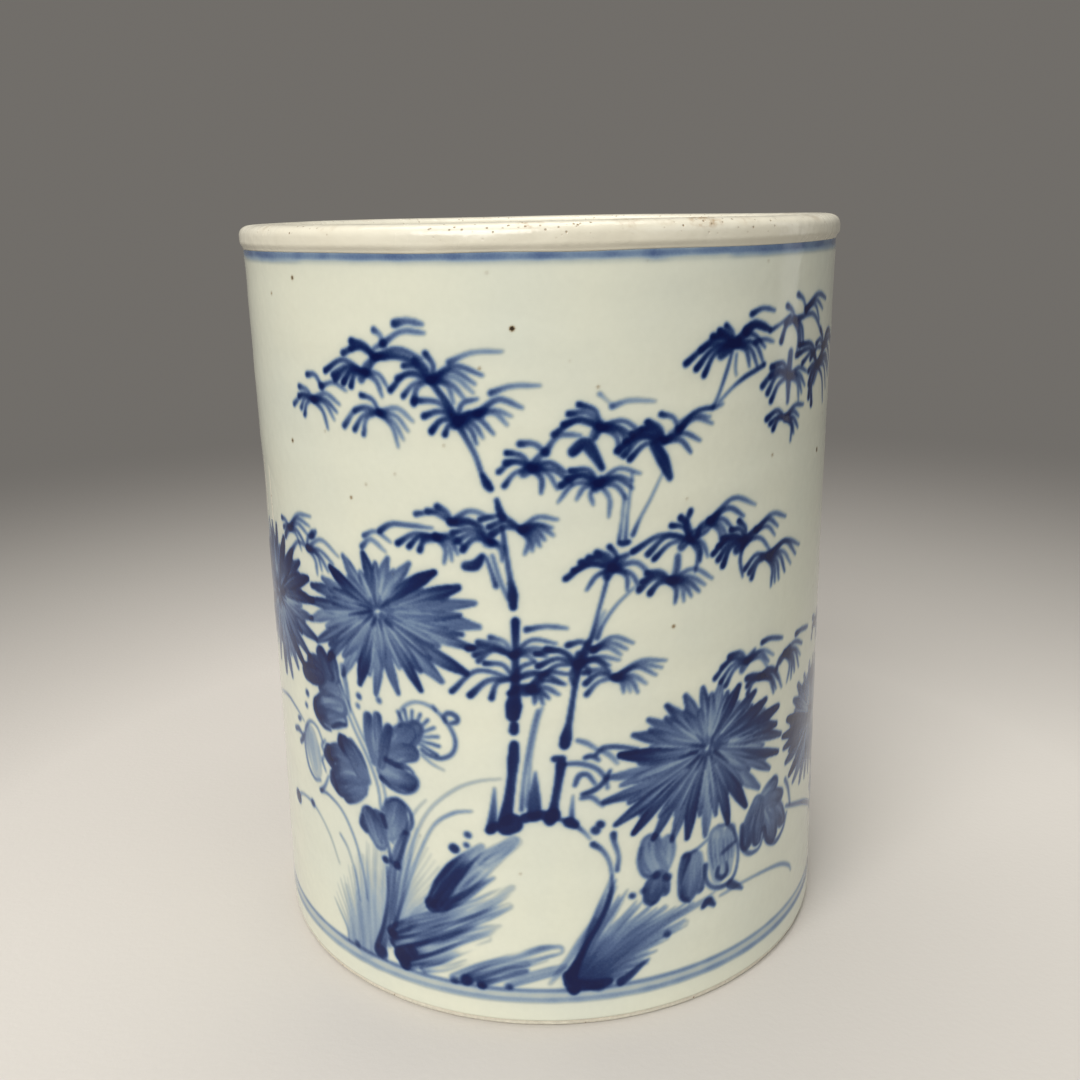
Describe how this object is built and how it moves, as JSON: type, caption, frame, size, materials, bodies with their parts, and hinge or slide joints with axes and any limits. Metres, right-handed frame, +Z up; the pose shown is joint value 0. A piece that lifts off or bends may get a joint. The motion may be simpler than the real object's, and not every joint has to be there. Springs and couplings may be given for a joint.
{
  "type": "brush pot",
  "caption": "Straight-sided porcelain brush pot with a rounded cream lip, a recessed base on a bare foot ring, and blue garden painting under a clear glaze.",
  "frame": {"origin": "on the floor, at the middle of the foot ring", "axes": "+Z up along the pot's upright axis; the painted side with the rock at its middle faces -Y"},
  "size_m": [0.106, 0.106, 0.1296],
  "materials": {
    "bare_clay": "unglazed fired porcelain, slightly orange where the glaze stops",
    "clear_glaze": "glossy, faintly green transparent glaze over white porcelain",
    "cream_lip": "thick glossy cream coat with pinholes and small brown frits"
  },
  "bodies": {
    "root": {"foot_ring": "bare_clay", "base_slab": "bare_clay", "thrown_wall": "bare_clay", "luting_coil": "bare_clay", "outer_glaze": "clear_glaze", "inner_glaze": "clear_glaze", "base_glaze": "clear_glaze", "lip_dressing": "cream_lip"}
  },
  "joints": []
}
